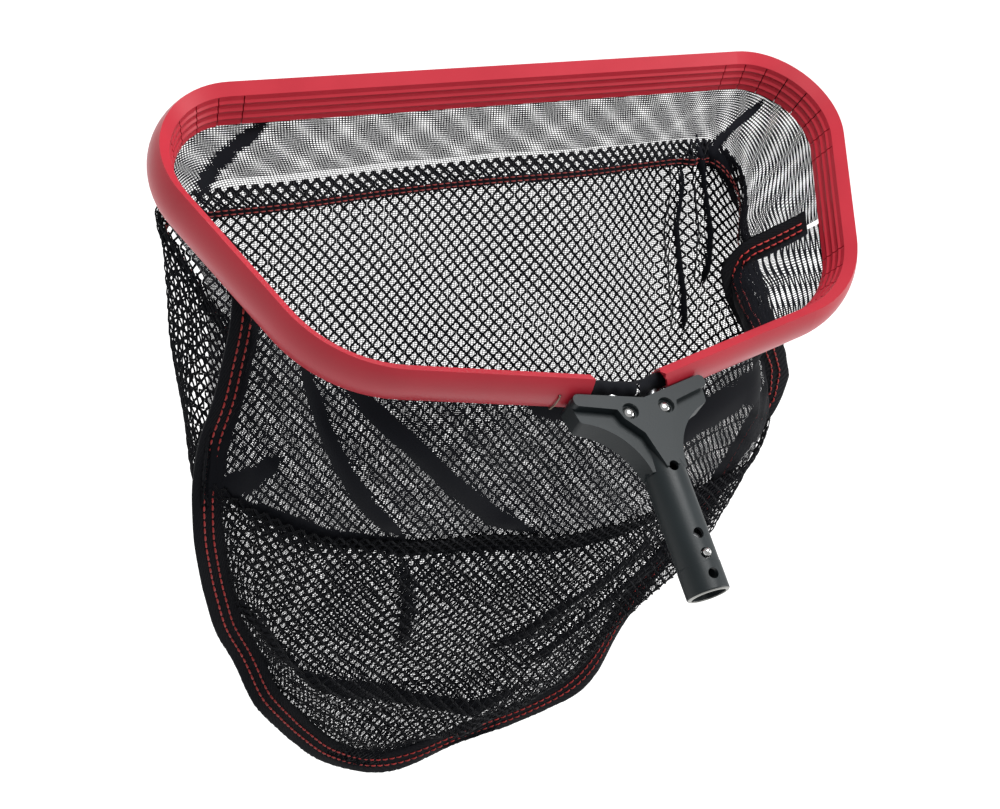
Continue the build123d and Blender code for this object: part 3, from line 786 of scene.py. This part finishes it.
def seam_line(outside, count, start=0.009):
    """The sewn edge in its plane, set outwards: across, down. Also its length."""
    left = np.array([(x, d) for d, x in SEAM_LEFT if d >= start])
    right = np.array([(x, d) for d, x in SEAM_RIGHT if d >= start])
    top_left = (looked_up(SEAM_LEFT, start), start)
    top_right = (looked_up(SEAM_RIGHT, start), start)
    corners = np.vstack([top_left, left, right[::-1][1:], top_right])
    run = np.r_[0, np.cumsum(np.hypot(*np.diff(corners, axis=0).T))]
    even = np.linspace(0, run[-1], 1500)
    line = np.c_[np.interp(even, run, corners[:, 0]), np.interp(even, run, corners[:, 1])]
    window = np.hanning(61)
    window /= window.sum()
    padded = np.pad(line, ((30, 30), (0, 0)), mode="reflect", reflect_type="odd")
    line = np.c_[np.convolve(padded[:, 0], window, "valid"), np.convolve(padded[:, 1], window, "valid")]
    on_right = line[:, 0] > looked_up(SEAM_RIGHT, line[:, 1]) - 0.03
    line[:, 0] -= dip_of(line[:, 1]) * on_right
    step = np.gradient(line, axis=0)
    step /= np.linalg.norm(step, axis=1, keepdims=True)
    line = line + outside * np.c_[-step[:, 1], step[:, 0]]
    run = np.r_[0, np.cumsum(np.hypot(*np.diff(line, axis=0).T))]
    even = np.linspace(0, run[-1], count)
    return np.c_[np.interp(even, run, line[:, 0]), np.interp(even, run, line[:, 1])], run[-1]


# ---- operators ----


def place_piece(piece, slot_name, *stood_for):
    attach(piece, BODY)
    if stood_for:
        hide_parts(*stood_for)
    return piece


def settings(context):
    scene = context.scene
    return scene.leaf_bag, scene.leaf_mesh, scene.leaf_finish, scene.leaf_stage


class LEAFNET_OT_stage(bpy.types.Operator):
    """Make the camera, the floor and the lights"""

    bl_idname = "leafnet.stage"
    bl_label = "Stage"

    def execute(self, context):
        stage = settings(context)[3]
        scene = context.scene
        scene.view_settings.view_transform = "Standard"
        axes = hoop_axes()
        eye = to_row(np.array([-0.58131, -0.69427 + HOOP_DEPTH, 0.83913]))
        right = np.array([0.88127, -0.34665, 0.32123]) @ axes
        down = np.array([-0.14141, -0.84197, -0.52067]) @ axes
        forward = np.array([0.45096, 0.41342, -0.79102]) @ axes
        camera = bpy.data.objects.new("camera", bpy.data.cameras.new("camera"))
        scene.collection.objects.link(camera)
        camera.data.sensor_width = 36.0
        camera.data.lens = stage.lens
        turn = np.eye(4)
        turn[:3, 0], turn[:3, 1], turn[:3, 2], turn[:3, 3] = right, -down, -forward, eye
        camera.matrix_world = Matrix(turn.tolist())
        scene.camera = camera

        middle = (CAD_LOW + CAD_HIGH) / 2
        floor_points = [
            (middle.x + x, middle.y + y, CAD_LOW.z - stage.floor_gap)
            for x, y in ((-30, -30), (30, -30), (30, 30), (-30, 30))
        ]
        paper = Paint("floor_paper", Roughness=0.9, Emission_Color=(1, 1, 1, 1), Emission_Strength=0.45)
        floor = add_mesh("floor", floor_points, [[0, 1, 2, 3]], material=paint_mottle(paper))

        world = bpy.data.worlds.new("studio")
        scene.world = world
        world.use_nodes = True
        world.node_tree.nodes["Background"].inputs["Color"].default_value = (1, 1, 1, 1)
        world.node_tree.nodes["Background"].inputs["Strength"].default_value = 0.42
        for name, place, size, power in (
            ("key", (0.3, 0.6, 1.8), 1.0, 34),
            ("fill", (1.7, -0.5, 0.9), 0.8, 15),
        ):
            light = bpy.data.objects.new(name, bpy.data.lights.new(name, "AREA"))
            light.data.size = size
            light.data.energy = power
            scene.collection.objects.link(light)
            at = np.array(middle) + np.array(place)
            back = np.array(place) / np.linalg.norm(place)
            side = np.cross([0, 0, 1.0], back)
            side /= np.linalg.norm(side)
            turn = np.eye(4)
            turn[:3, 0], turn[:3, 1], turn[:3, 2], turn[:3, 3] = side, np.cross(back, side), back, at
            light.matrix_world = Matrix(turn.tolist())
        return {"FINISHED"}


def paint_mottle(paper):
    cloud = paper.noise(0.8, 2.0)
    return paper.feed(Base_Color=paper.between(cloud, (0.91, 0.91, 0.91), (0.95, 0.95, 0.95)))


class LEAFNET_OT_hard_finishes(bpy.types.Operator):
    """Give the cover, the rod, the handle and the metal pieces their finishes"""

    bl_idname = "leafnet.hard_finishes"
    bl_label = "Hard Finishes"

    def execute(self, context):
        finish = settings(context)[2]
        steel = metal("polished_steel", (0.78, 0.78, 0.77), 0.16)
        strip = metal("spring_steel", (0.55, 0.56, 0.58), 0.3)
        coating = handle_coating(tuple(finish.casting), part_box("handle_casting")[0].y)
        finishes = {
            "rim_cover": cover_plastic(tuple(finish.cover)),
            "hoop_rod": metal("drawn_aluminium", (0.72, 0.73, 0.75), 0.32),
            "wire_tie": metal("dull_wire", (0.28, 0.22, 0.17), 0.45, 0.002),
            "handle_casting": coating,
            "clamp_bolts": steel,
            "clamp_washers": steel,
            "clamp_nuts": steel,
            "clip_bend": strip,
            "clip_strip_upper": strip,
            "clip_strip_lower": strip,
            "clip_button_upper": steel,
            "clip_button_lower": steel,
        }
        for node, material in finishes.items():
            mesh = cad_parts[node].data
            mesh.materials.clear()
            mesh.materials.append(material)
        return {"FINISHED"}


class LEAFNET_OT_sleeve(bpy.types.Operator):
    """Sew the sleeve that wraps the rod under the cover"""

    bl_idname = "leafnet.sleeve"
    bl_label = "Sleeve"

    def execute(self, context):
        finish = settings(context)[2]
        count = 900
        corners = [
            (-REAR_HALF, REAR_RISE), (-FRONT_HALF, HOOP_DEPTH),
            (FRONT_HALF, HOOP_DEPTH), (REAR_HALF, REAR_RISE),
        ]
        start = (0.0, 0.0)
        crest, _ = rounded_line(
            [start, *corners, start], [REAR_RADIUS, FRONT_RADIUS, FRONT_RADIUS, REAR_RADIUS], count
        )
        line = np.c_[crest, np.zeros(count)]
        along = np.gradient(line, axis=0)
        along /= np.linalg.norm(along, axis=1, keepdims=True)
        out = np.cross([0, 0, 1.0], along)
        section = np.array([
            (-0.0036, -0.0208), (-0.0030, -0.0150), (-0.0018, -0.0092), (0.0006, -0.0052), (0.0036, -0.0042),
            (0.0064, -0.0062), (0.0078, -0.0110), (0.0078, -0.0165), (0.0068, -0.0208), (0.0030, -0.0216),
        ])
        ring = len(section)
        place = np.arange(count)[:, None]
        turn = np.arange(ring)[None, :]
        pucker = 0.00035 * np.sin(place * 0.9 + turn * 1.3) + 0.00025 * np.sin(place * 0.37 - turn)
        outs = section[None, :, 0] + pucker
        ups = section[None, :, 1] + 0.3 * pucker
        points = line[:, None, :] + out[:, None, :] * outs[..., None] + np.array([0, 0, 1.0]) * ups[..., None]
        faces = grid_faces(count, ring)
        shares = np.meshgrid(np.arange(ring) / ring, np.arange(count) / count)
        uv = np.stack(shares, axis=-1).reshape(-1, 2)
        cloth = strand_yarn("sleeve_cloth", tuple(finish.fabric), 0.0007)
        piece = add_mesh("rod_sleeve", to_row(points.reshape(-1, 3)), faces, uv, cloth)
        place_piece(piece, "sleeve_fabric", "bag_sleeve")
        return {"FINISHED"}


class LEAFNET_OT_panels(bpy.types.Operator):
    """Hang the two fine mesh panels, the two coarse nets over them and their hems"""

    bl_idname = "leafnet.panels"
    bl_label = "Bag Panels"

    def execute(self, context):
        bag, mesh, finish, _ = settings(context)
        fabric, thread = tuple(finish.fabric), tuple(finish.thread)
        yarn = strand_yarn("net_yarn", fabric)
        # the hem's stitches sit inside the bag and get the thread colour darkened to 0.45: painted shade
        shaded_stitching = sewing_thread(shade(thread, 0.45))
        for side, cuff in (("front", 0.044), ("rear", 0.146)):
            panel = Panel(bag, side, "liner")
            liner_cloth = fine_mesh(f"fine_mesh_{side}", fabric, mesh, panel.flat, cuff)
            uv = np.stack(
                [panel.across / panel.flat[0] + 0.5, 1 - panel.down / panel.flat[1]], axis=-1
            ).reshape(-1, 2)
            liner = add_mesh(
                f"liner_{side}", to_row(panel.grid.reshape(-1, 3)),
                grid_faces(panel.ROWS, panel.COLUMNS), uv, liner_cloth,
            )
            folds = liner.data.attributes.new(FOLD, "FLOAT", "POINT")
            folds.data.foreach_set("value", panel.folds.astype(np.float32).ravel())
            place_piece(liner, "liner_mesh", f"mesh_liner_{side}")
            panel = Panel(bag, side)
            top = 0.044 if side == "front" else 0.140
            points, faces, uvs = knit(panel, mesh, top, panel.flat[1] - 0.002, 0.0019)
            net = add_mesh(f"coarse_net_{side}", to_row(points), faces, uvs, yarn)
            place_piece(net, "net_cord", f"net_{side}")
            hem_top, hem_bottom = (0.044, 0.063) if side == "front" else (0.136, 0.154)
            points, faces, uvs = knit(panel, mesh, hem_top, hem_bottom, 0.0034, shift=0.5, row_share=0.9)
            hem = add_mesh(f"net_hem_{side}", to_row(points), faces, uvs, yarn)
            place_piece(hem, "hem_fabric", f"hem_{side}")
            trims = self.hem_trim(panel, hem_bottom, yarn, shaded_stitching) if side == "front" else []
        return {"FINISHED"}

    @staticmethod
    def hem_trim(panel, down, cloth, shaded_stitching):
        """The turned-in edge along a hem's foot and its two rows of stitches, on the inside."""
        half = float(panel.half_width(down)) - 0.010
        count = 900
        across = np.linspace(-half, half, count)
        rng = np.random.default_rng(8)
        rows = []
        for level, ragged in ((-0.0058, 0.0009), (-0.0040, 0.0), (-0.0020, 0.0), (0.0006, 0.0005)):
            line, normals, _ = panel.at(across, down + level + rng.normal(0, ragged, count))
            rows.append(line - normals * 0.0009)
        shares = np.meshgrid(np.linspace(0, 1, count), np.linspace(0, 1, len(rows)))
        uv = np.stack(shares, axis=-1).reshape(-1, 2)
        band = add_mesh("hem_turn", to_row(np.vstack(rows)), grid_faces(len(rows), count), uv, cloth)
        place_piece(band, "hem_fabric")
        sewn = []
        for level in (-0.0042, -0.0012):
            line, normals, _ = panel.at(across, np.full(count, down + level))
            sewn.append(stitch_row(line - normals * 0.0014, -normals, 0.0040, 0.0012, 0.0011))
        points, faces = joined(sewn)
        # these stitches carry the darkened thread colour, which is painted shade
        stitches = add_mesh("hem_stitches", to_row(points), faces, material=shaded_stitching)
        place_piece(stitches, "hem_fabric")
        return [band, stitches]


class LEAFNET_OT_edge_tape(bpy.types.Operator):
    """Bind the bag's edge with woven tape and sew it with two rows of stitches"""

    bl_idname = "leafnet.edge_tape"
    bl_label = "Edge Tape"

    def execute(self, context):
        bag, _, finish, _ = settings(context)
        count = 620
        origin, across_axis, down_axis, out_axis = seam_frame(bag)
        outer, length = seam_line(0.006, count)
        inner, _ = seam_line(-0.015, count)
        run = np.linspace(0, length, count)
        rng = np.random.default_rng(5)
        wave = bag.ruffle * (
            np.sin(run * 38) * 0.6 + np.sin(run * 71 + 1.0) * 0.3 + np.sin(run * 17 + 2.0) * 0.5
        )
        fray = rng.normal(0, 0.00025, count)
        section = [
            (1.0, 0.5), (0.94, 1.0), (0.7, 1.0), (0.5, 0.9), (0.3, 1.0), (0.06, 1.0), (0.0, 0.6), (0.0, -0.6),
            (0.06, -1.0), (0.3, -1.0), (0.5, -0.9), (0.7, -1.0), (0.94, -1.0), (1.0, -0.5),
        ]

        def tape_point(share, level, spread=1.0):
            flat = outer * (1 - share) + inner * share
            rim = (flat[:, :1] * across_axis + flat[:, 1:] * down_axis)
            thick = 0.0013 * level * spread
            push = (wave * (1 - 0.5 * share) + thick)[:, None] * out_axis
            return origin + rim + push

        rings = []
        for share, level in section:
            edge = abs(share - 0.5) > 0.4
            rings.append(tape_point(share, level) + (fray[:, None] * down_axis if edge else 0))
        points = np.stack(rings, axis=1)
        faces = grid_faces(count, len(section))
        shares = np.array([s for s, _ in section])
        uv = np.stack(np.meshgrid(shares, np.arange(count) / count), axis=-1).reshape(-1, 2)
        cloth = tape_cloth("edge_tape_cloth", tuple(finish.fabric))
        piece = add_mesh("edge_tape", to_row(points.reshape(-1, 3)), faces, uv, cloth)
        place_piece(piece, "tape_fabric", "seam_tape")

        rows = []
        for share in (0.36, 0.64):
            for face in (1.0, -1.0):
                line = tape_point(share, face, 1.25)
                rows.append(stitch_row(
                    line, np.repeat([out_axis * face], count, axis=0), 0.0047, 0.0012, 0.0015
                ))
        stitches = add_mesh(
            "tape_stitches", to_row(joined(rows)[0]), joined(rows)[1],
            material=sewing_thread(tuple(finish.thread)),
        )
        place_piece(stitches, "tape_fabric")
        return {"FINISHED"}


class LEAFNET_PT_panel(bpy.types.Panel):
    """The steps that make the net"""

    bl_idname = "LEAFNET_PT_panel"
    bl_label = "Leaf Net"
    bl_space_type = "VIEW_3D"
    bl_region_type = "UI"
    bl_category = "Leaf Net"

    def draw(self, context):
        for step in STEPS:
            self.layout.operator(step.bl_idname)
        for group in settings(context):
            for name in group.__annotations__:
                self.layout.prop(group, name)


GROUPS = {
    "leaf_bag": LeafNetBag,
    "leaf_mesh": LeafNetMesh,
    "leaf_finish": LeafNetFinish,
    "leaf_stage": LeafNetStage,
}
STEPS = (
    LEAFNET_OT_stage,
    LEAFNET_OT_hard_finishes,
    LEAFNET_OT_sleeve,
    LEAFNET_OT_panels,
    LEAFNET_OT_edge_tape,
)


def register():
    for kind in (*GROUPS.values(), *STEPS, LEAFNET_PT_panel):
        bpy.utils.register_class(kind)
    for name, group in GROUPS.items():
        setattr(bpy.types.Scene, name, PointerProperty(type=group))


def unregister():
    for name in GROUPS:
        delattr(bpy.types.Scene, name)
    for kind in (LEAFNET_PT_panel, *reversed(STEPS), *reversed(GROUPS.values())):
        bpy.utils.unregister_class(kind)


def main():
    register()
    for step in STEPS:
        group, name = step.bl_idname.split(".")
        getattr(getattr(bpy.ops, group), name)()


if __name__ == "__main__":
    main()
